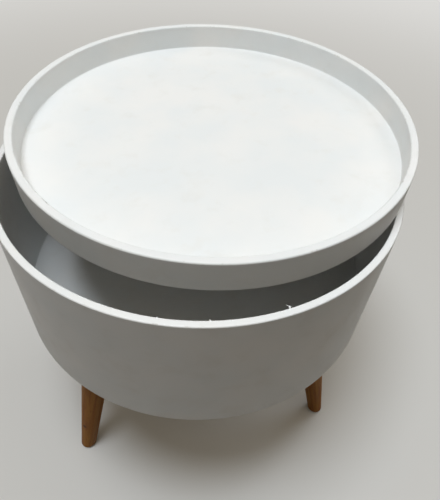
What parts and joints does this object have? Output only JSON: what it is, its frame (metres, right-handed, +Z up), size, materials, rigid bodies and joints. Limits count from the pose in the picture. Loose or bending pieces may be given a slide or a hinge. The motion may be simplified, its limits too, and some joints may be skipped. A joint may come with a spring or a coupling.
{
  "type": "round storage coffee table",
  "caption": "Round white storage table: an open drum body on splayed tapered wooden legs, with a shallow lift-off tray as its lid, resting pushed back on the rim.",
  "frame": {"origin": "on the floor, on the axis of the drum body, midway between the feet", "axes": "+Z up; -Y to the front, between the two front legs; the back leg is on +Y"},
  "size_m": [0.4182, 0.4341, 0.4494],
  "materials": {
    "white_paint": "satin white paint on bent and flat fibreboard",
    "bare_board": "unpainted fibreboard",
    "beech": "turned beech, warm brown stain under matte lacquer",
    "pressed_steel": "zinc plated pressed steel",
    "fasteners": "yellow zinc plated steel",
    "nylon": "dark moulded plastic"
  },
  "bodies": {
    "base": {"body_wall": "white_paint", "body_floor": "white_paint", "leg_back": "beech", "leg_front_left": "beech", "leg_front_right": "beech", "leg_plate_back": "pressed_steel", "leg_plate_front_left": "pressed_steel", "leg_plate_front_right": "pressed_steel", "clinch_nuts": "fasteners", "hanger_bolts": "fasteners", "plate_screws": "fasteners", "glide_back": "nylon", "glide_front_left": "nylon", "glide_front_right": "nylon", "glide_nails": "fasteners"},
    "tray": {"tray_wall": "white_paint", "tray_floor": "white_paint", "tray_locating_ring": "bare_board", "ring_screws": "fasteners"}
  },
  "joints": [
    {"name": "tray_lift", "type": "slide", "parent": "base", "child": "tray", "axis": [0, 0, 1], "range_m": [0, 0.25]}
  ]
}
